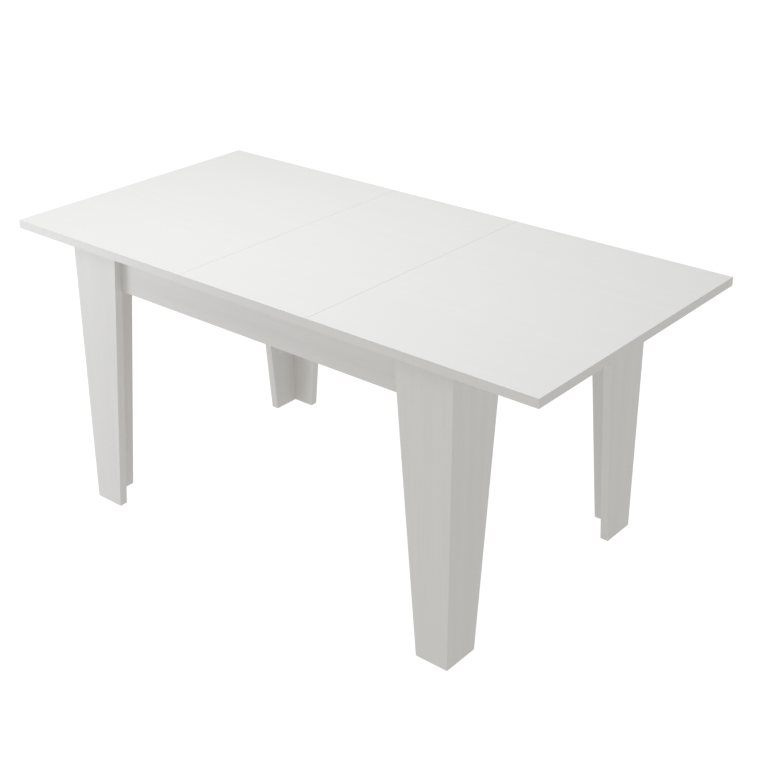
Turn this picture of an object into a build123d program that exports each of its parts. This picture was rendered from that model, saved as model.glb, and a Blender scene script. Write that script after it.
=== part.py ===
"""Extendable dining table, modelled with its leaf in place.

The frame stands on four L-shaped legs of tapered boards.  Two half tops run apart on ball-bearing
runners, and a loose leaf drops into the gap between them.  Millimetres; +X along the table, +Y to
the back, +Z up; the origin is on the floor under the middle of the table.
"""

import os

from build123d import *

# ---------------------------------------------------------------- driving dimensions

# Top
table_height = 750.0
closed_length = 1200.0            # both halves pushed together
top_width = 800.0
leaf_length = 400.0
top_thickness = 22.0
seam_clearance = 0.2              # between the leaf and each half
band_thickness = 0.8              # plastic strip glued on every cut edge that shows
band_radius = 0.5

# Pins that line up the leaf and the halves
pin_diameter = 8.0
pin_reach = 10.0
pin_socket_depth = 20.0
pin_clearance = 0.2               # radial, in the hole it slides into
pin_hole_spare = 2.0              # depth of that hole past the pin's end
pin_count = 3
pin_corner_distance = 110.0       # first pin from the table's long edge

# Frame
top_overhang = 8.0                # closed top beyond the legs, all round
running_gap = 1.0                 # frame to the underside of the top
apron_height = 94.0
apron_thickness = 22.0
corner_block_rise = 8.0           # above the apron's lower edge
corner_block_gap = 12.0           # to the bolt heads beside it
slip_pad_length = 60.0
slip_pad_width = 14.0
slip_pad_clearance = 0.1          # below the panels that slide over the pads
slip_pad_count = 4                # on each long apron

# Legs: two boards meet at each corner, and taper from the inside
leg_thickness = 22.0
leg_front_top_width = 154.0
leg_front_foot_width = 88.0
leg_side_top_width = 170.0
leg_side_foot_width = 102.0
glide_diameter = 16.0
glide_height = 3.0

# Dowels, bolts and their nuts
dowel_diameter = 8.0
dowel_short_end = 10.0            # in the board that shows its face
dowel_long_end = 20.0             # in the board that shows its edge
leg_dowel_count = 4
bolt_diameter = 6.0
bolt_bite = 10.0                  # into the leg
bolt_head_diameter = 12.0
bolt_head_height = 3.5
bolt_rise = 12.0                  # lower bolt above the apron's lower edge
bolt_edge_distance = 25.0         # from the leg board's sloping edge
insert_diameter = 9.0
insert_length = 13.0

# Cross rails that carry the leaf when it is stored
rail_width = 60.0
rail_thickness = 22.0
rail_offset = 300.0               # from the middle of the table
rail_gap = 10.0                   # below the battens
rail_felt_thickness = 1.5
bracket_leg = 24.0
bracket_height = 16.0
bracket_thickness = 2.0

# Ball-bearing runners
runner_sheet = 1.2
runner_overlap = 195.0            # slider left in its channel, halves open
runner_web_gap = 1.0              # slider's web to the channel's lips
channel_lip = 3.0
channel_spare = 5.0               # channel past the slider, halves closed
slider_height = 22.0
slider_lip = 1.5
slider_near_inset = 10.0          # from the batten's ends
slider_far_inset = 20.0
ball_diameter = 4.8
ball_race_clearance = 0.25        # above and below a ball
ball_side_clearance = 0.15
ball_count = 6
cage_sheet = 0.6
cage_gap = 0.6                    # cage to channel and to slider
cage_margin = 17.5                # cage ends to the ends of the overlap
cage_ball_clearance = 0.1

# Battens that hang the halves on the runners
batten_height = 38.0
batten_thickness = 22.0
batten_start = 15.0               # from the middle of the table, halves closed
bumper_thickness = 3.0
bumper_size = (22.0, 16.0)
bumper_clearance = 0.1

# Screws
screw_diameter = 4.0
screw_head_diameter = 8.0
batten_screw_bite = 12.0          # into the top
batten_screw_inset = 70.0
runner_screw_diameter = 3.5
runner_screw_head_diameter = 7.0
runner_screw_head_height = 2.2
runner_screw_length = 16.0
runner_screw_inset = 20.0

# ---------------------------------------------------------------- places worked out from them

travel = leaf_length / 2                       # each half, from closed to open
top_x = closed_length / 2 + travel
top_y = top_width / 2
top_low = table_height - top_thickness
top_middle = top_low + top_thickness / 2
frame_high = top_low - running_gap
frame_x = closed_length / 2 - top_overhang
frame_y = top_width / 2 - top_overhang
apron_x = frame_x - leg_thickness              # outer faces of the aprons
apron_y = frame_y - leg_thickness
inner_x = apron_x - apron_thickness            # inner faces of the aprons
inner_y = apron_y - apron_thickness
apron_low = frame_high - apron_height

# Runner section, as depths from the apron's face and heights from the runner's middle
cage_web = runner_sheet + cage_gap
slider_nose = cage_web + cage_sheet + cage_gap
ball_depth = slider_nose + runner_sheet + ball_side_clearance + ball_diameter / 2
channel_depth = ball_depth + ball_diameter / 2 + ball_side_clearance + runner_sheet
runner_depth = channel_depth + runner_web_gap + runner_sheet
ball_z = slider_height / 2 + ball_race_clearance + ball_diameter / 2
channel_top = ball_z + ball_diameter / 2 + ball_race_clearance + runner_sheet
slider_top = slider_height / 2
cage_top = ball_z + cage_sheet / 2
cage_depth = channel_depth - runner_sheet - cage_gap

slider_face = inner_y - runner_depth           # where slider meets batten
batten_low = top_low - batten_height
batten_y = slider_face - batten_thickness / 2
batten_near = batten_start + travel            # with the halves open
batten_far = inner_x - bumper_thickness - bumper_clearance
runner_z = batten_low + batten_height * 0.4
slider_near = batten_near + slider_near_inset
slider_far = batten_far - slider_far_inset
channel_start = slider_near - travel - channel_spare
channel_far = slider_near + runner_overlap
cage_near = slider_near + cage_margin
cage_far = channel_far - cage_margin
rail_high = batten_low - rail_gap
rail_low = rail_high - rail_thickness

# ---------------------------------------------------------------- shape helpers


def block(x_span, y_span, z_span):
    """A box between two values on each axis, given in either order."""
    spans = [sorted(span) for span in (x_span, y_span, z_span)]
    sizes = [high - low for low, high in spans]
    middles = [(high + low) / 2 for low, high in spans]
    return Pos(*middles) * Box(*sizes)


def plate(outline, direction, thickness):
    """A flat outline of 3-D points, thickened along a direction."""
    return extrude(make_face(Polyline(*outline, close=True)), amount=thickness, dir=direction)


def rod(start, direction, length, diameter):
    """A cylinder that leaves a point in a direction."""
    place = Plane(origin=start, z_dir=direction)
    return place * Cylinder(diameter / 2, length, align=(Align.CENTER, Align.CENTER, Align.MIN))


def headed(start, direction, length, diameter, head_diameter, head_height):
    """A bolt or pan-head screw: the head sits behind the start, the shank ahead of it."""
    place = Plane(origin=start, z_dir=direction)
    head = place * Cylinder(head_diameter / 2, head_height, align=(Align.CENTER, Align.CENTER, Align.MAX))
    return rod(start, direction, length, diameter) + head


def countersunk(start, direction, length, diameter, head_diameter):
    """A screw whose conical head is flush with the surface it starts from."""
    place = Plane(origin=start, z_dir=direction)
    rise = (head_diameter - diameter) / 2
    head = place * Cone(head_diameter / 2, diameter / 2, rise, align=(Align.CENTER, Align.CENTER, Align.MIN))
    return rod(start, direction, length, diameter) + head


def drilled(body, cutters):
    """The body with every cutter taken out of it."""
    for cutter in cutters:
        body = body - cutter
    return body


def eased(strip, axis, outward, corner=None):
    """Round the long edges of a strip's outward face; outward is signed, along the axis.

    A corner is a second axis and a sign: only the edge on that side is rounded, because the other
    one lies against a board.
    """
    broad_faces = strip.faces().sort_by(SortBy.AREA)[-2:]
    face = broad_faces.sort_by(axis)[-1 if outward > 0 else 0]
    edges = face.edges().sort_by(SortBy.LENGTH)[-2:]
    if corner:
        corner_axis, side = corner
        edges = [edges.sort_by(corner_axis)[-1 if side > 0 else 0]]
    return fillet(edges, band_radius)


nodes = {}


def keep(name, *solids):
    """Store a node as separate solids."""
    separate = []
    for shape in solids:
        separate.extend(shape.solids())
    nodes[name] = separate


sides = (("right", 1), ("left", -1))
rows = (("front", -1), ("back", 1))

# ---------------------------------------------------------------- table top


def spread(count, reach):
    """Evenly spaced places from -reach to +reach."""
    return [-reach + 2 * reach * i / (count - 1) for i in range(count)]


pin_places = spread(pin_count, top_y - pin_corner_distance)


def pins(edge_x, glued_in=pin_socket_depth, standing_out=pin_reach, diameter=pin_diameter):
    """Pins along a joint edge, pointing to +X."""
    return [rod((edge_x - glued_in, y, top_middle), (1, 0, 0), glued_in + standing_out, diameter)
            for y in pin_places]


def pin_holes(edge_x):
    """Blind holes that the pins of the panel on the left slide into."""
    return pins(edge_x, pin_hole_spare, pin_reach + pin_hole_spare, pin_diameter + 2 * pin_clearance)


def panel(x_near, x_far, cutters):
    """A board and the four plastic strips round its edges, from one end to the other."""
    low, high = sorted((x_near, x_far))
    b = band_thickness
    z_span = (top_low, table_height)
    core = block((low + b, high - b), (-top_y + b, top_y - b), z_span)
    strips = []
    for x, inward in ((low, b), (high, -b)):
        strip = block((x, x + inward), (-top_y, top_y), z_span)
        strips.append(eased(strip, Axis.X, -inward))
    for y, inward in ((-top_y, b), (top_y, -b)):
        strip = block((low + b, high - b), (y, y + inward), z_span)
        strips.append(eased(strip, Axis.Y, -inward))
    return drilled(core, cutters), [drilled(strip, cutters) for strip in strips]


leaf_x = travel - seam_clearance
leaf_pins = pins(leaf_x)
left_half_pins = pins(-travel)

batten_screw_places = (batten_near + batten_screw_inset, (batten_near + batten_far) / 2,
                       batten_far - batten_screw_inset)
slider_screw_places = (slider_near + runner_screw_inset, slider_far - runner_screw_inset)

half_screws = {}
for side, sx in sides:
    batten_screws = []
    slider_screws = []
    for row, sy in rows:
        for x in batten_screw_places:
            batten_screws.append(countersunk((sx * x, sy * batten_y, batten_low), (0, 0, 1),
                                             batten_height + batten_screw_bite,
                                             screw_diameter, screw_head_diameter))
        for x in slider_screw_places:
            slider_screws.append(headed((sx * x, sy * (slider_face + runner_sheet), runner_z),
                                        (0, -sy, 0), runner_screw_length, runner_screw_diameter,
                                        runner_screw_head_diameter, runner_screw_head_height))
    half_screws[side] = (batten_screws, slider_screws)

leaf, leaf_bands = panel(-leaf_x, leaf_x, leaf_pins + pin_holes(-leaf_x))
keep("extension_leaf", leaf)
keep("leaf_edge_bands", *leaf_bands)
keep("leaf_locating_pins", *leaf_pins)

right_half, right_bands = panel(travel, top_x, pin_holes(travel) + half_screws["right"][0])
left_half, left_bands = panel(-travel, -top_x, left_half_pins + half_screws["left"][0])
keep("top_half_right", right_half)
keep("right_half_edge_bands", *right_bands)
keep("top_half_left", left_half)
keep("left_half_edge_bands", *left_bands)
keep("left_half_locating_pins", *left_half_pins)

# ---------------------------------------------------------------- battens and runners


def runner_bar(profile, sx, sy, near, far):
    """A sheet-steel section run along X; the profile is (depth from the apron, height)."""
    start = min(sx * near, sx * far)
    outline = [(start, sy * (inner_y - depth), runner_z + height) for depth, height in profile]
    return plate(outline, (1, 0, 0), far - near)


def both_ways(upper):
    """Close a profile's upper half with its mirror image below."""
    return upper + [(depth, -height) for depth, height in reversed(upper)]


channel_profile = both_ways([
    (0, channel_top),
    (channel_depth, channel_top),
    (channel_depth, channel_top - channel_lip),
    (channel_depth - runner_sheet, channel_top - channel_lip),
    (channel_depth - runner_sheet, channel_top - runner_sheet),
    (runner_sheet, channel_top - runner_sheet),
])

slider_profile = both_ways([
    (runner_depth, slider_top),
    (slider_nose + runner_sheet, slider_top),
    (slider_nose + runner_sheet, slider_top + slider_lip),
    (slider_nose, slider_top + slider_lip),
    (slider_nose, slider_top - runner_sheet),
    (runner_depth - runner_sheet, slider_top - runner_sheet),
])

cage_profile = both_ways([
    (cage_web, cage_top),
    (cage_depth, cage_top),
    (cage_depth, cage_top - cage_sheet),
    (cage_web + cage_sheet, cage_top - cage_sheet),
])


def ball_cage(sx, sy):
    """The cage with its pockets, and the balls that stand in them."""
    cage = runner_bar(cage_profile, sx, sy, cage_near, cage_far)
    pitch = (cage_far - cage_near) / ball_count
    balls = []
    for i in range(ball_count):
        x = sx * (cage_near + pitch * (i + 0.5))
        y = sy * (inner_y - ball_depth)
        pocket = ball_diameter + 2 * cage_ball_clearance
        for up in (1, -1):
            centre = (x, y, runner_z + up * ball_z)
            cage = cage - Pos(*centre) * Cylinder(pocket / 2, 2.0)
            balls.append(Pos(*centre) * Sphere(ball_diameter / 2))
    return cage, balls


channel_screw_places = (channel_start + 2 * runner_screw_inset, (channel_start + channel_far) / 2,
                        channel_far - 2 * runner_screw_inset)
channel_screws = {}
for row, sy in rows:
    channel_screws[row] = []
    for side, sx in sides:
        for x in channel_screw_places:
            start = (sx * x, sy * (inner_y - runner_sheet), runner_z)
            channel_screws[row].append(countersunk(start, (0, sy, 0), runner_screw_length,
                                                   runner_screw_diameter, runner_screw_head_diameter))
keep("channel_screws", *channel_screws["front"], *channel_screws["back"])

for side, sx in sides:
    batten_screws, slider_screws = half_screws[side]
    keep(f"{side}_half_screws", *batten_screws, *slider_screws)
    for row, sy in rows:
        batten = block((sx * batten_near, sx * batten_far),
                       (sy * slider_face, sy * (slider_face - batten_thickness)),
                       (batten_low, top_low))
        keep(f"{side}_{row}_batten", drilled(batten, batten_screws + slider_screws))
        slider = runner_bar(slider_profile, sx, sy, slider_near, slider_far)
        keep(f"{side}_{row}_runner_slider", drilled(slider, slider_screws))
        channel = runner_bar(channel_profile, sx, sy, channel_start, channel_far)
        keep(f"{side}_{row}_runner_channel", drilled(channel, channel_screws[row]))
        cage, balls = ball_cage(sx, sy)
        keep(f"{side}_{row}_ball_cage", cage, *balls)

# ---------------------------------------------------------------- aprons



def leg_edge(outer, top_share, foot_share):
    """Where a leg board's sloping edge is at the lower bolt, measured from the table's middle."""
    rise = (apron_low + bolt_rise - glide_height) / (frame_high - glide_height)
    return outer - foot_share - (top_share - foot_share) * rise


apron_dowel_places = (apron_low + apron_height * 0.25, apron_low + apron_height * 0.75)
apron_dowels = []
for side, sx in sides:
    for row, sy in rows:
        for z in apron_dowel_places:
            start = (sx * (inner_x + apron_thickness / 2), sy * (inner_y + dowel_short_end), z)
            apron_dowels.append(rod(start, (0, -sy, 0), dowel_short_end + dowel_long_end, dowel_diameter))
keep("apron_dowels", *apron_dowels)

bolt_heights = (apron_low + bolt_rise, rail_high - bolt_head_diameter / 2)
front_bolt_x = leg_edge(frame_x, leg_front_top_width, leg_front_foot_width) + bolt_edge_distance
side_bolt_y = leg_edge(frame_y, leg_side_top_width, leg_side_foot_width) + bolt_edge_distance
long_bolts = []
long_inserts = []
side_bolts = []
side_inserts = []


def bolt_and_insert(face, outward):
    """A bolt through an apron into a threaded sleeve let into the back of a leg board."""
    length = apron_thickness + bolt_bite
    bolt = headed(face, outward, length, bolt_diameter, bolt_head_diameter, bolt_head_height)
    mouth = tuple(f + apron_thickness * o for f, o in zip(face, outward))
    insert = rod(mouth, outward, insert_length, insert_diameter)
    return bolt, insert


for side, sx in sides:
    for row, sy in rows:
        for z in bolt_heights:
            bolt, insert = bolt_and_insert((sx * front_bolt_x, sy * inner_y, z), (0, sy, 0))
            long_bolts.append(bolt)
            long_inserts.append(insert)
            bolt, insert = bolt_and_insert((sx * inner_x, sy * side_bolt_y, z), (sx, 0, 0))
            side_bolts.append(bolt)
            side_inserts.append(insert)
keep("leg_bolts", *long_bolts, *side_bolts)
keep("leg_insert_nuts", *[drilled(insert, [bolt]) for insert, bolt in
                          zip(long_inserts + side_inserts, long_bolts + side_bolts)])

bracket_screws = {}
rail_screws = []
brackets = []
bracket_middle = (rail_low + rail_high) / 2
bracket_z = (bracket_middle - bracket_height / 2, bracket_middle + bracket_height / 2)
for row, sy in rows:
    bracket_screws[row] = []
    for side, sx in sides:
        rail_side = rail_offset - rail_width / 2
        on_apron = block((sx * rail_side, sx * (rail_side - bracket_leg)),
                         (sy * inner_y, sy * (inner_y - bracket_thickness)), bracket_z)
        on_rail = block((sx * rail_side, sx * (rail_side - bracket_thickness)),
                        (sy * inner_y, sy * (inner_y - bracket_leg)), bracket_z)
        into_apron = countersunk((sx * (rail_side - bracket_leg * 0.6), sy * (inner_y - bracket_thickness),
                                  bracket_middle), (0, sy, 0), runner_screw_length, screw_diameter,
                                 runner_screw_head_diameter)
        into_rail = countersunk((sx * (rail_side - bracket_thickness), sy * (inner_y - bracket_leg * 0.6),
                                 bracket_middle), (sx, 0, 0), runner_screw_length, screw_diameter,
                                runner_screw_head_diameter)
        brackets.append(drilled(on_apron + on_rail, [into_apron, into_rail]))
        bracket_screws[row].append(into_apron)
        rail_screws.append(into_rail)
keep("rail_brackets", *brackets)
keep("rail_bracket_screws", *bracket_screws["front"], *bracket_screws["back"], *rail_screws)

apron_bands = []
for row, sy in rows:
    z_span = (apron_low + band_thickness, frame_high)
    apron = block((-apron_x, apron_x), (sy * inner_y, sy * apron_y), z_span)
    keep(f"{row}_apron", drilled(apron, apron_dowels + long_bolts + channel_screws[row]
                                 + bracket_screws[row]))
    apron_bands.append(eased(block((-apron_x, apron_x), (sy * inner_y, sy * apron_y),
                                   (apron_low, apron_low + band_thickness)), Axis.Z, -1))
for side, sx in sides:
    z_span = (apron_low + band_thickness, frame_high)
    apron = block((sx * inner_x, sx * apron_x), (-inner_y, inner_y), z_span)
    keep(f"{side}_apron", drilled(apron, apron_dowels + side_bolts))
    apron_bands.append(eased(block((sx * inner_x, sx * apron_x), (-inner_y, inner_y),
                                   (apron_low, apron_low + band_thickness)), Axis.Z, -1))
keep("apron_edge_bands", *apron_bands)

# ---------------------------------------------------------------- corner blocks, rails, pads

for side, sx in sides:
    for row, sy in rows:
        z = apron_low + corner_block_rise
        head_room = bolt_head_diameter / 2 + corner_block_gap
        corner = (sx * inner_x, sy * inner_y, z)
        along = (sx * (front_bolt_x + head_room), sy * inner_y, z)
        across = (sx * inner_x, sy * (side_bolt_y + head_room), z)
        keep(f"{row}_{side}_corner_block", plate([corner, along, across], (0, 0, 1), rail_high - z))

felts = []
for side, sx in sides:
    x_span = (sx * (rail_offset - rail_width / 2), sx * (rail_offset + rail_width / 2))
    rail = block(x_span, (-inner_y, inner_y), (rail_low, rail_high))
    keep(f"{side}_cross_rail", drilled(rail, rail_screws))
    felts.append(block((sx * (rail_offset - rail_width / 4), sx * (rail_offset + rail_width / 4)),
                       (-leaf_length / 2, leaf_length / 2),
                       (rail_high, rail_high + rail_felt_thickness)))
keep("rail_felt_strips", *felts)

pads = []
for row, sy in rows:
    for x in spread(slip_pad_count, front_bolt_x):
        y = sy * (inner_y + apron_thickness / 2)
        pads.append(block((x - slip_pad_length / 2, x + slip_pad_length / 2),
                          (y - slip_pad_width / 2, y + slip_pad_width / 2),
                          (frame_high, top_low - slip_pad_clearance)))
keep("slip_pads", *pads)

bumper_width, bumper_height = bumper_size
bumpers = []
for side, sx in sides:
    for row, sy in rows:
        z = (batten_low + top_low) / 2
        bumpers.append(block((sx * inner_x, sx * (inner_x - bumper_thickness)),
                             (sy * batten_y - bumper_width / 2, sy * batten_y + bumper_width / 2),
                             (z - bumper_height / 2, z + bumper_height / 2)))
keep("extension_bumpers", *bumpers)

# ---------------------------------------------------------------- legs


def leg_board(point, outward, outer, inner_top, inner_foot):
    """A board with one upright edge and one sloping edge, both measured from the table's middle."""
    ends = [(outer, frame_high), (outer, glide_height), (inner_foot, glide_height), (inner_top, frame_high)]
    return plate([point(u, z) for u, z in ends], outward, leg_thickness)


def taper_band(point, outward, inner_top, inner_foot):
    """The plastic strip down a board's sloping edge."""
    ends = [(inner_top + band_thickness, frame_high), (inner_foot + band_thickness, glide_height),
            (inner_foot, glide_height), (inner_top, frame_high)]
    return plate([point(u, z) for u, z in ends], outward, leg_thickness)


leg_dowel_step = (apron_low - glide_height) / leg_dowel_count
leg_dowels = []
glides = []
for side, sx in sides:
    for row, sy in rows:

        def front_point(u, z):
            return (sx * u, sy * apron_y, z)

        def side_point(v, z):
            return (sx * apron_x, sy * v, z)

        dowels = []
        for i in range(leg_dowel_count):
            z = glide_height + leg_dowel_step * (i + 0.5)
            start = (sx * (apron_x + leg_thickness / 2), sy * (apron_y + dowel_short_end), z)
            dowels.append(rod(start, (0, -sy, 0), dowel_short_end + dowel_long_end, dowel_diameter))
        leg_dowels.extend(dowels)

        b = band_thickness
        front_top = frame_x - leg_front_top_width
        front_foot = frame_x - leg_front_foot_width
        side_top = frame_y - leg_side_top_width
        side_foot = frame_y - leg_side_foot_width
        leg = f"{row}_{side}_leg"
        front_board = leg_board(front_point, (0, sy, 0), frame_x - b, front_top + b, front_foot + b)
        keep(f"{leg}_front_board", drilled(front_board, dowels + long_inserts))
        side_board = leg_board(side_point, (sx, 0, 0), apron_y, side_top + b, side_foot + b)
        keep(f"{leg}_side_board", drilled(side_board, dowels + side_inserts))
        corner_band = leg_board(front_point, (0, sy, 0), frame_x, frame_x - b, frame_x - b)
        corner_band = eased(corner_band, Axis.X, sx, (Axis.Y, sy))
        front_band = eased(taper_band(front_point, (0, sy, 0), front_top, front_foot), Axis.X, -sx)
        side_band = eased(taper_band(side_point, (sx, 0, 0), side_top, side_foot), Axis.Y, -sy)
        keep(f"{leg}_edge_bands", corner_band, front_band, side_band)

        glide_in = glide_diameter
        front_glide = (sx * (frame_x - leg_front_foot_width + glide_in), sy * (frame_y - leg_thickness / 2))
        corner_glide = (sx * (frame_x - glide_in), sy * (frame_y - leg_thickness / 2))
        side_glide = (sx * (frame_x - leg_thickness / 2), sy * (frame_y - leg_side_foot_width + glide_in))
        for x, y in (front_glide, corner_glide, side_glide):
            glides.append(Pos(x, y, 0) * Cylinder(glide_diameter / 2, glide_height,
                                                  align=(Align.CENTER, Align.CENTER, Align.MIN)))
keep("leg_corner_dowels", *leg_dowels)
keep("foot_glides", *glides)

# ---------------------------------------------------------------- write one file per node

os.makedirs("parts", exist_ok=True)
for name, solids in nodes.items():
    shape = solids[0] if len(solids) == 1 else Compound(children=solids)
    export_step(shape, f"parts/{name}.step")
print(len(nodes), "nodes,", sum(len(solids) for solids in nodes.values()), "solids")
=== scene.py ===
import math

import bpy
import numpy as np
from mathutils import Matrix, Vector


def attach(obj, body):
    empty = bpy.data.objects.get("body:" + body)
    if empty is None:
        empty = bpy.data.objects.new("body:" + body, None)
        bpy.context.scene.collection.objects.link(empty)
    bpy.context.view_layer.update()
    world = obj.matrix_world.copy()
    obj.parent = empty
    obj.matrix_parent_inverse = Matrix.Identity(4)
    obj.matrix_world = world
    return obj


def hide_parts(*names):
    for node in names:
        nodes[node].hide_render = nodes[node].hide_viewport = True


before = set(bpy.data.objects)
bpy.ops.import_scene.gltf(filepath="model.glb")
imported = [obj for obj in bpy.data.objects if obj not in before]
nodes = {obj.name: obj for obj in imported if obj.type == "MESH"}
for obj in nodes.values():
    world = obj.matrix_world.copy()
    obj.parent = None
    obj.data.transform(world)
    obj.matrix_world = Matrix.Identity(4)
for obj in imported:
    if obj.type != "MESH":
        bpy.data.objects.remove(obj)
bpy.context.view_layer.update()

# -----------------------------------------------------------------------------
# Aprons.  Four chipboard rails faced with white melamine paper, pressed with a shallow wood grain
# that runs along each rail.  Their ends butt in the corners, where dowels and blocks hold them.

X, Y, Z = 0, 1, 2


def linear(code):
    """The linear colour, with alpha, of an sRGB hex code."""
    channels = [int(code[i:i + 2], 16) / 255 for i in (1, 3, 5)]
    return (*[c / 12.92 if c <= 0.04045 else ((c + 0.055) / 1.055) ** 2.4 for c in channels], 1.0)


def add(material, kind, sockets=None, **settings):
    """Add a shader node.  A socket gets a value, or (node, output) to be linked to that output."""
    tree = material.node_tree
    node = tree.nodes.new("ShaderNode" + kind)
    for name, value in settings.items():
        setattr(node, name, value)
    for socket, value in (sockets or {}).items():
        if isinstance(value, tuple) and isinstance(value[0], bpy.types.Node):
            tree.links.new(value[0].outputs[value[1]], node.inputs[socket])
        else:
            node.inputs[socket].default_value = value
    return node


def empty(name):
    """A material with no nodes yet."""
    material = bpy.data.materials.new(name)
    material.use_nodes = True
    material.node_tree.nodes.clear()
    return material


def repeats(*millimetres):
    """The Mapping scale that makes one unit of a pattern this long on X, Y and Z."""
    return [1000 / length for length in millimetres]


def lengthwise(axis, along, across):
    """Pattern lengths that are long on the grain's axis and short on the other two."""
    return [along if i == axis else across for i in range(3)]


def dress(names, material):
    """Put a material in the slot of each CAD node."""
    for name in names:
        nodes[name].data.materials.clear()
        nodes[name].data.materials.append(material)


def faced_board(name, face, grain, light, dark, pore_depth, satin):
    """Chipboard with pressed melamine paper on both faces, whose normals lie on the face axis."""
    board = empty(name)
    place = add(board, "TexCoord")
    # Pressed pores, 2.2 mm across and 130 mm long, grouped in streaks 24 mm wide and 900 mm long.
    pore_place = add(board, "Mapping", {"Vector": (place, "Object"),
                                        "Scale": repeats(*lengthwise(grain, 130, 2.2))})
    pores = add(board, "TexNoise", {"Vector": (pore_place, 0), "Scale": 1.0, "Detail": 3.0, "Roughness": 0.6})
    streak_place = add(board, "Mapping", {"Vector": (place, "Object"),
                                          "Scale": repeats(*lengthwise(grain, 900, 24))})
    streaks = add(board, "TexNoise", {"Vector": (streak_place, 0), "Scale": 1.0, "Detail": 2.0,
                                      "Distortion": 0.4})
    grouped = add(board, "Mix", {0: 0.45, 2: (pores, 0), 3: (streaks, 0)}, data_type="FLOAT")
    spread = add(board, "MapRange", {"Value": (grouped, 0), "From Min": 0.36, "From Max": 0.64})
    paper = add(board, "Mix", {0: (spread, 0), 6: linear(dark), 7: linear(light)}, data_type="RGBA")
    # Wood chips and glue, in flat flakes about 2.6 mm across, wherever the board is cut or drilled.
    chip_place = add(board, "Mapping", {"Vector": (place, "Object"), "Scale": repeats(2.6, 2.6, 1.6)})
    chips = add(board, "TexVoronoi", {"Vector": (chip_place, 0), "Scale": 1.0})
    chip_tone = add(board, "SeparateColor", {"Color": (chips, "Color")})
    core = add(board, "Mix", {0: (chip_tone, 0), 6: linear("#a58a63"), 7: linear("#cdb58e")},
               data_type="RGBA")
    normal = add(board, "SeparateXYZ", {0: (place, "Normal")})
    square_on = add(board, "Math", {0: (normal, face), 1: (normal, face)}, operation="MULTIPLY")
    faced = add(board, "Math", {0: (square_on, 0), 1: 0.5}, operation="GREATER_THAN")
    colour = add(board, "Mix", {0: (faced, 0), 6: (core, 2), 7: (paper, 2)}, data_type="RGBA")
    pressed = add(board, "Bump", {"Height": (pores, 0), "Strength": 1.0, "Distance": pore_depth / 1000})
    gloss = add(board, "MapRange", {"Value": (faced, 0), "To Min": 0.9, "To Max": satin})
    skin = add(board, "BsdfPrincipled", {"Base Color": (colour, 2), "Roughness": (gloss, 0), "IOR": 1.5,
                                         "Normal": (pressed, 0)})
    add(board, "OutputMaterial", {"Surface": (skin, 0)})
    return board


# The pressed grain's two tints, the depth of its pores in millimetres, and its roughness.
WOODGRAIN = ("#e1dfdb", "#dcdad6", 0.03, 0.48)
dress(("front_apron", "back_apron"),
      faced_board("white_woodgrain_melamine_long_apron", Y, X, *WOODGRAIN))
dress(("left_apron", "right_apron"),
      faced_board("white_woodgrain_melamine_end_apron", X, Y, *WOODGRAIN))

# -----------------------------------------------------------------------------
# Legs.  Each is an L of two tapered boards, glued and dowelled along the outer corner.  They are
# the same pressed melamine board as the aprons, with the grain upright and the core bare underneath.

dress([name for name in nodes if name.endswith("leg_front_board")],
      faced_board("white_woodgrain_melamine_leg_front", Y, Z, *WOODGRAIN))
dress([name for name in nodes if name.endswith("leg_side_board")],
      faced_board("white_woodgrain_melamine_leg_side", X, Z, *WOODGRAIN))

# -----------------------------------------------------------------------------
# Edge strips.  Extruded ABS, 0.8 mm thick, hot-glued to every edge of the boards that shows and
# scraped to a 0.5 mm radius.  Its sheen lies between the tops' and the legs', with fine die lines.

edging = empty("white_abs_edging")
place = add(edging, "TexCoord")
die_place = add(edging, "Mapping", {"Vector": (place, "Object"), "Scale": repeats(60, 60, 1.1)})
die_lines = add(edging, "TexNoise", {"Vector": (die_place, 0), "Scale": 1.0, "Detail": 2.0})
tint = add(edging, "Mix", {0: (die_lines, 0), 6: linear("#dcdad6"), 7: linear("#e0deda")},
           data_type="RGBA")
scraped = add(edging, "Bump", {"Height": (die_lines, 0), "Strength": 1.0, "Distance": 0.00002})
plastic = add(edging, "BsdfPrincipled", {"Base Color": (tint, 2), "Roughness": 0.45, "IOR": 1.53,
                                         "Normal": (scraped, 0)})
add(edging, "OutputMaterial", {"Surface": (plastic, 0)})
dress([name for name in nodes if name.endswith("edge_bands")], edging)

# -----------------------------------------------------------------------------
# Corner blocks, dowels, cross rails, battens and pins.  Steamed beech, planed and left raw: pinkish
# straw, with soft bands along the grain and short dark ray flecks.


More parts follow.
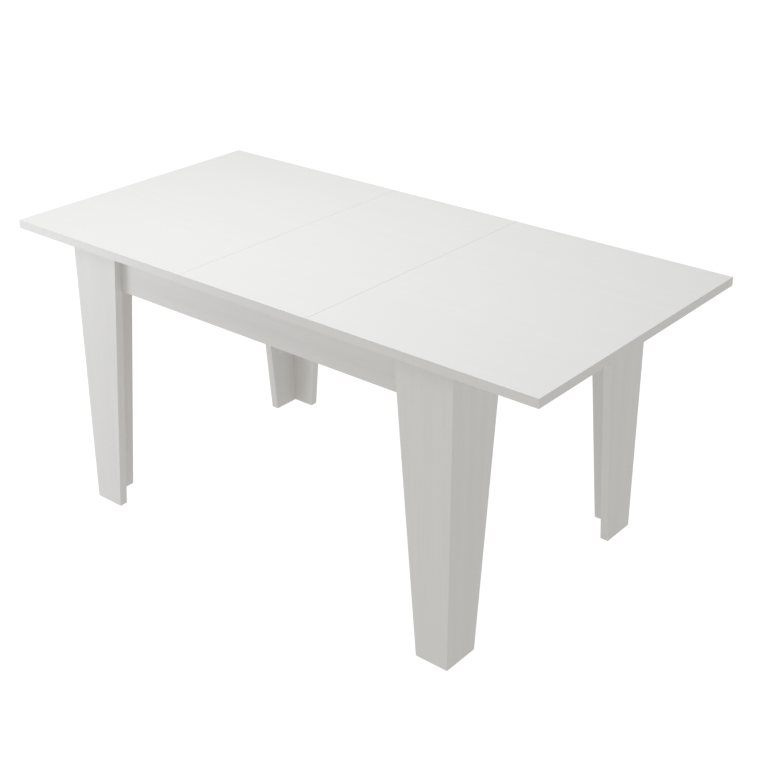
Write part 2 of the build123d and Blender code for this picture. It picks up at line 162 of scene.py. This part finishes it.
def planed_beech(name, grain):
    """Raw beech with its grain along one axis."""
    wood = empty(name)
    place = add(wood, "TexCoord")
    # Growth bands, 5 mm apart, that run 300 mm before they fade.
    band_place = add(wood, "Mapping", {"Vector": (place, "Object"),
                                       "Scale": repeats(*lengthwise(grain, 300, 5))})
    bands = add(wood, "TexNoise", {"Vector": (band_place, 0), "Scale": 1.0, "Detail": 4.0, "Distortion": 0.4})
    banded = add(wood, "MapRange", {"Value": (bands, 0), "From Min": 0.3, "From Max": 0.7})
    tone = add(wood, "Mix", {0: (banded, 0), 6: linear("#b78a60"), 7: linear("#dab88f")}, data_type="RGBA")
    # Ray flecks, 4 mm long and 0.8 mm wide, a third darker.
    fleck_place = add(wood, "Mapping", {"Vector": (place, "Object"),
                                        "Scale": repeats(*lengthwise(grain, 4, 0.8))})
    flecks = add(wood, "TexVoronoi", {"Vector": (fleck_place, 0), "Scale": 1.0})
    fleck = add(wood, "MapRange", {"Value": (flecks, "Distance"), "From Min": 0.12, "From Max": 0.3,
                                   "To Min": 0.33, "To Max": 0.0})
    colour = add(wood, "Mix", {0: (fleck, 0), 6: (tone, 2), 7: linear("#7f5734")}, data_type="RGBA")
    planed = add(wood, "Bump", {"Height": (bands, 0), "Strength": 1.0, "Distance": 0.0001})
    skin = add(wood, "BsdfPrincipled", {"Base Color": (colour, 2), "Roughness": 0.6, "IOR": 1.5,
                                        "Normal": (planed, 0)})
    add(wood, "OutputMaterial", {"Surface": (skin, 0)})
    return wood


beech_along_x = planed_beech("planed_beech_along_x", X)
beech_along_y = planed_beech("planed_beech_along_y", Y)
beech_upright = planed_beech("planed_beech_upright", Z)
dress([name for name in nodes if name.endswith("batten")], beech_along_x)
dress(("leaf_locating_pins", "left_half_locating_pins"), beech_along_x)
dress(("right_cross_rail", "left_cross_rail", "leg_corner_dowels", "apron_dowels"), beech_along_y)
dress([name for name in nodes if name.endswith("corner_block")], beech_upright)

# -----------------------------------------------------------------------------
# Runners, brackets and fastenings.  Rolled sheet or turned steel, zinc-plated and passivated: a cool
# grey metal with rolling lines and a softer shine than chrome.


def zinc_plate(name, drawn, roughness):
    """Zinc plate over steel that was rolled or drawn along one axis."""
    plate = empty(name)
    place = add(plate, "TexCoord")
    # Rolling lines, 0.8 mm apart and 70 mm long.
    line_place = add(plate, "Mapping", {"Vector": (place, "Object"),
                                        "Scale": repeats(*lengthwise(drawn, 70, 0.8))})
    lines = add(plate, "TexNoise", {"Vector": (line_place, 0), "Scale": 1.0, "Detail": 3.0})
    tone = add(plate, "Mix", {0: (lines, 0), 6: linear("#a4a8ac"), 7: linear("#d0d3d6")}, data_type="RGBA")
    rough = add(plate, "MapRange", {"Value": (lines, 0), "To Min": roughness - 0.1,
                                    "To Max": roughness + 0.1})
    rolled = add(plate, "Bump", {"Height": (lines, 0), "Strength": 1.0, "Distance": 0.00001})
    metal = add(plate, "BsdfPrincipled", {"Base Color": (tone, 2), "Metallic": 1.0, "Roughness": (rough, 0),
                                          "Normal": (rolled, 0)})
    add(plate, "OutputMaterial", {"Surface": (metal, 0)})
    return plate


rolled_zinc = zinc_plate("zinc_plated_rolled_steel", X, 0.34)
RUNNER_PARTS = ("runner_channel", "runner_slider", "ball_cage")
dress([name for name in nodes if name.endswith(RUNNER_PARTS)], rolled_zinc)
dress(("rail_brackets",), zinc_plate("zinc_plated_pressed_steel", Z, 0.36))
turned_zinc = zinc_plate("zinc_plated_turned_steel", Z, 0.3)
dress(("leg_insert_nuts",), turned_zinc)

# -----------------------------------------------------------------------------
# Bolts and screws.  Cold-headed and thread-rolled steel, zinc-plated: M6 bolts with a hex socket
# hold the legs, countersunk and pan-head screws with a cross recess hold the runners and battens.

MM = 0.001
TURNS = np.linspace(0, 2 * np.pi, 48, endpoint=False)
ROUND = np.ones_like(TURNS)
# A hexagon's distance from its centre, with corners at 1.
HEXAGON = math.cos(math.pi / 6) / np.cos(TURNS % (math.pi / 3) - math.pi / 6)
# Four lobes, for a cross recess: widest on the two arms and a third of that between them.
CROSS = 0.66 + 0.34 * np.cos(4 * TURNS)


def solids(name):
    """The points of each separate solid in a CAD node.

    Points that lie together are one, and every triangle passes the lowest label of its three
    corners to the others until no label changes.
    """
    mesh = nodes[name].data
    points = np.empty(3 * len(mesh.vertices), dtype=np.float32)
    mesh.vertices.foreach_get("co", points)
    points = points.reshape(-1, 3).astype(float)
    mesh.calc_loop_triangles()
    corners = np.empty(3 * len(mesh.loop_triangles), dtype=np.int32)
    mesh.loop_triangles.foreach_get("vertices", corners)
    _, joined = np.unique(np.round(points, 6), axis=0, return_inverse=True)
    joined = joined.reshape(-1)
    triangles = joined[corners].reshape(-1, 3)
    label, settled = np.arange(joined.max() + 1), False
    while not settled:
        lowest = label.copy()
        np.minimum.at(lowest, triangles, np.repeat(label[triangles].min(axis=1), 3).reshape(-1, 3))
        settled = bool((lowest == label).all())
        label = lowest
    return [points[label[joined] == one] for one in np.unique(label[joined])]


def lie(points):
    """Where a screw or bolt lies: the middle of its tip, the way to its head, its length and radii.

    It lies along its longest side.  The head end is the one with the widest points.  The radii are
    those of its nearest and farthest points from the axis, which are the shank's and the head's.
    """
    low, high = points.min(axis=0), points.max(axis=0)
    axis = int(np.argmax(high - low))
    middle = (low + high) / 2
    across = np.linalg.norm(np.delete(points - middle, axis, axis=1), axis=1)
    above, below = points[:, axis] > middle[axis], points[:, axis] < middle[axis]
    head_high = across[above].max() > across[below].max()
    tip, way = middle.copy(), np.zeros(3)
    tip[axis] = low[axis] if head_high else high[axis]
    way[axis] = 1.0 if head_high else -1.0
    return tip, way, (high - low)[axis], across.min(), across.max()


def closed(first, grid, last):
    """Points and faces of a closed skin over a grid whose rows join up, with a point at each end.

    Each place in the grid makes a face with the next in its row and the two above them, and each
    end point makes a triangle with every two neighbours in the row beside it.
    """
    rows, count = grid.shape[:2]
    points = np.concatenate(([first], grid.reshape(-1, 3), [last]))
    here = 1 + np.arange(rows * count).reshape(rows, count)
    beside = np.roll(here, -1, axis=1)
    walls = np.stack((here[:-1], beside[:-1], beside[1:], here[1:]), axis=2).reshape(-1, 4)
    start_fan = np.stack((np.zeros(count, dtype=int), beside[0], here[0]), axis=1)
    end_fan = np.stack((np.full(count, len(points) - 1), here[-1], beside[-1]), axis=1)
    return points, walls.tolist() + start_fan.tolist() + end_fan.tolist()


def turn(rings, start, way):
    """A closed turned solid.  Ring k stands h_k along the axis and r_k times its outline away from it.

    Each ring's point at angle a is start + h * way + r * outline(a) * (cos a * side + sin a * up), and
    a single point on the axis closes each end, at the first and the last ring's height.
    """
    side = np.roll(np.abs(way), 1)
    up = np.cross(way, side)
    heights = np.array([ring[0] for ring in rings])
    reach = np.array([ring[1] * ring[2] for ring in rings])
    grid = (start + heights[:, None, None] * way + (reach * np.cos(TURNS))[:, :, None] * side
            + (reach * np.sin(TURNS))[:, :, None] * up)
    return closed(start + heights[0] * way, grid, start + heights[-1] * way)


def piece(name, parts, material, body, node):
    """One object out of (points, faces) parts, in place of a CAD node and riding on its body."""
    points, faces, start = [], [], 0
    for part_points, part_faces in parts:
        points.append(part_points)
        faces += [[start + i for i in face] for face in part_faces]
        start += len(part_points)
    mesh = bpy.data.meshes.new(name)
    mesh.from_pydata(np.concatenate(points).tolist(), [], faces)
    mesh.materials.append(material)
    mesh.polygons.foreach_set("use_smooth", [True] * len(mesh.polygons))
    mesh.set_sharp_from_angle(angle=math.radians(35))
    made = bpy.data.objects.new(name, mesh)
    bpy.context.scene.collection.objects.link(made)
    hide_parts(node)
    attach(made, body)


def rolled_shank(length, radius, pitch, depth):
    """Rings of a threaded shank from its blunt tip: crests at the radius, roots a depth below it."""
    crests = np.arange(0.6 * pitch, length, pitch)
    rings = [(0.0, radius - depth, ROUND)]
    for height in crests:
        rings += [(height, radius, ROUND), (height + pitch / 2, radius - depth, ROUND)]
    return [ring for ring in rings if ring[0] < length]


def socket_bolt(points):
    """An M6 bolt: 1 mm thread, 12 mm button head with a rounded rim, and a 4 mm hex socket in it."""
    tip, way, length, shank, head = lie(points)
    under = length - 3.5 * MM
    socket = 2.3 * MM
    rings = rolled_shank(under - 0.2 * MM, shank, 1.0 * MM, 0.3 * MM)
    # Under the head, up its rim and over its dome.
    rings += [(under, shank, ROUND), (under, head - 0.3 * MM, ROUND), (under + 0.3 * MM, head, ROUND),
              (length - 1.6 * MM, head, ROUND), (length - 0.6 * MM, head - 0.7 * MM, ROUND),
              (length, head - 2.2 * MM, ROUND)]
    # Down into the socket, past its bevelled mouth to the drilled bottom.
    rings += [(length, 2.6 * MM, HEXAGON), (length - 0.25 * MM, socket, HEXAGON),
              (length - 2.2 * MM, socket, HEXAGON), (length - 2.7 * MM, 0.6 * MM, ROUND)]
    return turn(rings, tip, way)


def pointed_shank(length, radius, pitch, depth):
    """Rings of a chipboard screw's shank: a point, 2.4 mm long, and then the thread."""
    point = 2.4 * MM
    thread = rolled_shank(length, radius, pitch, depth)[1:]
    rings = [(0.0, 0.25 * MM, ROUND), (point, radius - 0.4 * MM, ROUND)]
    return rings + [(height + point, reach, outline) for height, reach, outline in thread]


def flat_screw(points):
    """A countersunk chipboard screw: cone under a flat head, cross recess 2 mm deep, 1.8 mm thread."""
    tip, way, length, shank, head = lie(points)
    cone = length - (head - shank)
    rings = pointed_shank(cone - 3 * MM, shank, 1.8 * MM, 0.45 * MM)
    rings += [(cone, shank, ROUND), (length - 0.25 * MM, head - 0.2 * MM, ROUND),
              (length - 0.1 * MM, head, ROUND), (length, head - 0.15 * MM, ROUND)]
    rings += [(length, 0.62 * head, CROSS), (length - 1.0 * MM, 0.45 * head, CROSS),
              (length - 2.0 * MM, 0.12 * head, ROUND)]
    return turn(rings, tip, way)


def pan_screw(points):
    """A pan-head chipboard screw: domed head 2.2 mm high, cross recess 1.5 mm deep, 1.6 mm thread."""
    tip, way, length, shank, head = lie(points)
    under = length - 2.2 * MM
    rings = pointed_shank(under - 3 * MM, shank, 1.6 * MM, 0.4 * MM)
    rings += [(under, shank, ROUND), (under, head - 0.15 * MM, ROUND), (under + 0.2 * MM, head, ROUND),
              (length - 1.0 * MM, head, ROUND), (length - 0.35 * MM, head - 0.6 * MM, ROUND),
              (length, head - 1.5 * MM, ROUND)]
    rings += [(length, 0.52 * head, CROSS), (length - 0.8 * MM, 0.4 * head, CROSS),
              (length - 1.5 * MM, 0.12 * head, ROUND)]
    return turn(rings, tip, way)


piece("leg_socket_bolts", [socket_bolt(p) for p in solids("leg_bolts")], turned_zinc,
      "frame", "leg_bolts")
for node in ("channel_screws", "rail_bracket_screws"):
    piece(node + "_cross_recessed", [flat_screw(p) for p in solids(node)], turned_zinc,
          "frame", node)
for body in ("right_half", "left_half"):
    # The upright ones are countersunk in the battens, the level ones are pan heads on the sliders.
    screws = [flat_screw(p) if np.argmax(np.ptp(p, axis=0)) == Z else pan_screw(p)
              for p in solids(body + "_screws")]
    piece(body + "_screws_cross_recessed", screws, turned_zinc, body, body + "_screws")

# -----------------------------------------------------------------------------
# Half tops and leaf.  Chipboard panels with plain white melamine on both faces, pressed against a
# satin plate: a broad soft shine over a surface with a barely visible ripple.

# Its two tints, the depth of its ripple in millimetres, and its roughness.
SATIN_WHITE = ("#e8e8e7", "#e6e6e5", 0.015, 0.4)
top_panel = faced_board("white_satin_melamine_top", Z, X, *SATIN_WHITE)
dress(("top_half_right", "top_half_left", "extension_leaf"), top_panel)

# -----------------------------------------------------------------------------
# Glides and slip pads.  Moulded natural nylon, milky and slightly translucent: nailed under the legs
# as domed glides, and fixed on the long aprons as flat pads that the halves slide over.

nylon = empty("natural_nylon")
place = add(nylon, "TexCoord")
flow_place = add(nylon, "Mapping", {"Vector": (place, "Object"), "Scale": repeats(4, 4, 4)})
flow = add(nylon, "TexNoise", {"Vector": (flow_place, 0), "Scale": 1.0})
moulded = add(nylon, "Bump", {"Height": (flow, 0), "Strength": 1.0, "Distance": 0.00002})
milky = add(nylon, "Mix", {0: (flow, 0), 6: linear("#dedcd3"), 7: linear("#eae8e1")}, data_type="RGBA")
skin = add(nylon, "BsdfPrincipled", {"Base Color": (milky, 2), "Roughness": 0.45, "IOR": 1.53,
                                     "Subsurface Weight": 0.15, "Subsurface Scale": 0.003,
                                     "Normal": (moulded, 0)})
add(nylon, "OutputMaterial", {"Surface": (skin, 0)})


def glide(points):
    """A nail-on glide, in rings from the middle of its foot outwards and up to its flat top.

    The foot is dished round the head of its nail, 5.2 mm across, and its side is a quarter round
    over the lower four fifths: height 0.8 * tall * (1 - cos a), drawn in by 2.6 mm * (1 - sin a).
    """
    middle = (points.min(axis=0) + points.max(axis=0)) / 2
    low, high = points[:, Z].min(), points[:, Z].max()
    tall, radius = high - low, np.ptp(points[:, X]) / 2
    bend = np.linspace(0, np.pi / 2, 8)
    side = [(tall * 0.8 * (1 - math.cos(a)), radius - 2.6 * MM * (1 - math.sin(a)), ROUND) for a in bend]
    rings = [(1.2 * MM, 0.5 * MM, ROUND), (1.3 * MM, 2.3 * MM, ROUND), (1.6 * MM, 2.6 * MM, ROUND),
             (1.6 * MM, 2.9 * MM, ROUND), (0.4 * MM, 3.6 * MM, ROUND), (0.0, 4.4 * MM, ROUND)]
    rings += side + [(tall, radius, ROUND)]
    return turn(rings, np.array([middle[X], middle[Y], low]), np.array([0.0, 0.0, 1.0]))


piece("domed_foot_glides", [glide(p) for p in solids("foot_glides")], nylon, "frame", "foot_glides")


def squared(wave, tightness):
    """A wave raised to the tightness with its sign kept: the lower the power, the squarer the wave."""
    return np.sign(wave) * np.abs(wave) ** tightness


def soft_block(points, tightness, waver):
    """A pad with soft edges, on a grid of two angles: a superellipsoid in the box round the points.

    Each coordinate is the half size times a cosine or sine raised to the tightness, signs kept, and
    the thinnest side is drawn in by up to the waver, in slow waves along the two others.
    """
    low, high = points.min(axis=0), points.max(axis=0)
    half, middle = (high - low) / 2, (low + high) / 2
    order = np.argsort(half)[::-1]
    rise = np.linspace(-np.pi / 2, np.pi / 2, 26)[1:-1]
    girth = squared(np.cos(rise), tightness)[:, None]
    long = girth * squared(np.cos(TURNS), tightness)
    wide = girth * squared(np.sin(TURNS), tightness)
    drawn_in = waver * (0.5 + 0.5 * np.sin(9 * long) * np.cos(4 * wide))
    thick = squared(np.sin(rise), tightness)[:, None] * (1 - drawn_in)
    grid = np.empty((len(rise), len(TURNS), 3))
    for axis, share in zip(order, (long, wide, thick)):
        grid[:, :, axis] = middle[axis] + half[axis] * share
    pole = np.zeros(3)
    pole[order[2]] = half[order[2]] * (1 - waver)
    points, faces = closed(middle - pole, grid, middle + pole)
    left_handed = np.linalg.det(np.eye(3)[order]) < 0
    return points, [face[::-1] for face in faces] if left_handed else faces


PAD_TIGHTNESS = 0.16
piece("moulded_slip_pads", [soft_block(p, PAD_TIGHTNESS, 0.0) for p in solids("slip_pads")], nylon,
      "frame", "slip_pads")

# -----------------------------------------------------------------------------
# Felt strips.  Pressed grey wool felt, glued along the tops of the cross rails, where the stored
# leaf lies.  Its faces are slightly wavy and its fibres matted.

felt = empty("pressed_wool_felt")
place = add(felt, "TexCoord")
fibre_place = add(felt, "Mapping", {"Vector": (place, "Object"), "Scale": repeats(1.2, 1.2, 1.2)})
fibres = add(felt, "TexNoise", {"Vector": (fibre_place, 0), "Scale": 1.0, "Detail": 5.0, "Distortion": 1.5})
wool = add(felt, "Mix", {0: (fibres, 0), 6: linear("#66645f"), 7: linear("#aaa79f")}, data_type="RGBA")
matted = add(felt, "Bump", {"Height": (fibres, 0), "Strength": 1.0, "Distance": 0.0003})
skin = add(felt, "BsdfPrincipled", {"Base Color": (wool, 2), "Roughness": 0.95, "Sheen Weight": 0.3,
                                    "Normal": (matted, 0)})
add(felt, "OutputMaterial", {"Surface": (skin, 0)})
FELT_TIGHTNESS, FELT_WAVER = 0.22, 0.12
piece("soft_felt_strips", [soft_block(p, FELT_TIGHTNESS, FELT_WAVER) for p in solids("rail_felt_strips")],
      felt, "frame", "rail_felt_strips")

# -----------------------------------------------------------------------------
# Bumpers.  Moulded black rubber on the end aprons, which stop the halves when they are open.  A
# matt skin with rounder edges than the pads have.

rubber = empty("black_moulded_rubber")
place = add(rubber, "TexCoord")
mould_place = add(rubber, "Mapping", {"Vector": (place, "Object"), "Scale": repeats(0.8, 0.8, 0.8)})
mould = add(rubber, "TexNoise", {"Vector": (mould_place, 0), "Scale": 1.0})
black = add(rubber, "Mix", {0: (mould, 0), 6: linear("#1d1d1d"), 7: linear("#2d2d2c")}, data_type="RGBA")
matt = add(rubber, "Bump", {"Height": (mould, 0), "Strength": 1.0, "Distance": 0.00004})
skin = add(rubber, "BsdfPrincipled", {"Base Color": (black, 2), "Roughness": 0.75, "IOR": 1.52,
                                      "Normal": (matt, 0)})
add(rubber, "OutputMaterial", {"Surface": (skin, 0)})
BUMPER_TIGHTNESS = 0.3
piece("moulded_bumpers", [soft_block(p, BUMPER_TIGHTNESS, 0.0) for p in solids("extension_bumpers")],
      rubber, "frame", "extension_bumpers")

# -----------------------------------------------------------------------------
# Studio.  Floor and surround look plain white to the camera and give the table dimmer light, so no
# shadow shows on them.  A large softbox hangs overhead and a small one stands low at the front left.

REACH = 40.0
FLOOR_GIVEN, FLOOR_SEEN = 0.69, 0.97
SURROUND_GIVEN, SURROUND_SEEN = 0.5, 1.0
floor_mesh = bpy.data.meshes.new("studio_floor")
floor_mesh.from_pydata([(-REACH, -REACH, 0), (REACH, -REACH, 0), (REACH, REACH, 0), (-REACH, REACH, 0)],
                       [], [(0, 1, 2, 3)])
floor = bpy.data.objects.new("studio_floor", floor_mesh)
bpy.context.scene.collection.objects.link(floor)
acrylic = empty("backlit_white_acrylic")
seen = add(acrylic, "LightPath")
level = add(acrylic, "Mix", {0: (seen, "Is Camera Ray"), 2: FLOOR_GIVEN, 3: FLOOR_SEEN},
            data_type="FLOAT")
glow = add(acrylic, "BsdfPrincipled", {"Base Color": linear("#616161"), "Roughness": 0.9,
                                       "Specular IOR Level": 0.0, "Emission Color": linear("#ffffff"),
                                       "Emission Strength": (level, 0)})
add(acrylic, "OutputMaterial", {"Surface": (glow, 0)})
floor_mesh.materials.append(acrylic)

surround = bpy.data.worlds.new("pale_surround")
surround.use_nodes = True
surround.node_tree.nodes.clear()
seen = add(surround, "LightPath")
bright = add(surround, "Mix", {0: (seen, "Is Camera Ray"), 2: SURROUND_GIVEN, 3: SURROUND_SEEN},
             data_type="FLOAT")
sky = add(surround, "Background", {"Color": linear("#ffffff"), "Strength": (bright, 0)})
add(surround, "OutputWorld", {"Surface": (sky, 0)})
bpy.context.scene.world = surround


def softbox(name, place, aim, size, power, colour):
    """A square softbox of the given size, in metres and watts, that faces a point."""
    light = bpy.data.lights.new(name, "AREA")
    light.shape = "SQUARE"
    light.size = size
    light.energy = power
    light.color = colour
    lamp = bpy.data.objects.new(name, light)
    lamp.location = place
    lamp.rotation_euler = (Vector(aim) - Vector(place)).to_track_quat("-Z", "Y").to_euler()
    lamp.visible_camera = False
    bpy.context.scene.collection.objects.link(lamp)


softbox("overhead_softbox", (-0.55, -0.55, 3.3), (-0.1, -0.1, 0.75), 1.8, 50, (1.0, 1.0, 1.0))
softbox("front_left_softbox", (-1.5, -1.35, 0.45), (-0.5, -0.4, 0.25), 0.6, 6.0, (0.87, 0.92, 1.0))

camera_data = bpy.data.cameras.new("camera")
camera_data.sensor_width = 36.0
camera_data.lens = 64.63
camera_data.shift_x = 0.021
camera_data.shift_y = -0.048
camera = bpy.data.objects.new("camera", camera_data)
camera.location = (2.050, -2.382, 1.935)
camera.rotation_euler = [math.radians(angle) for angle in (65.213, 0.336, 40.113)]
bpy.context.scene.collection.objects.link(camera)
bpy.context.scene.camera = camera
bpy.context.scene.view_settings.view_transform = "Standard"
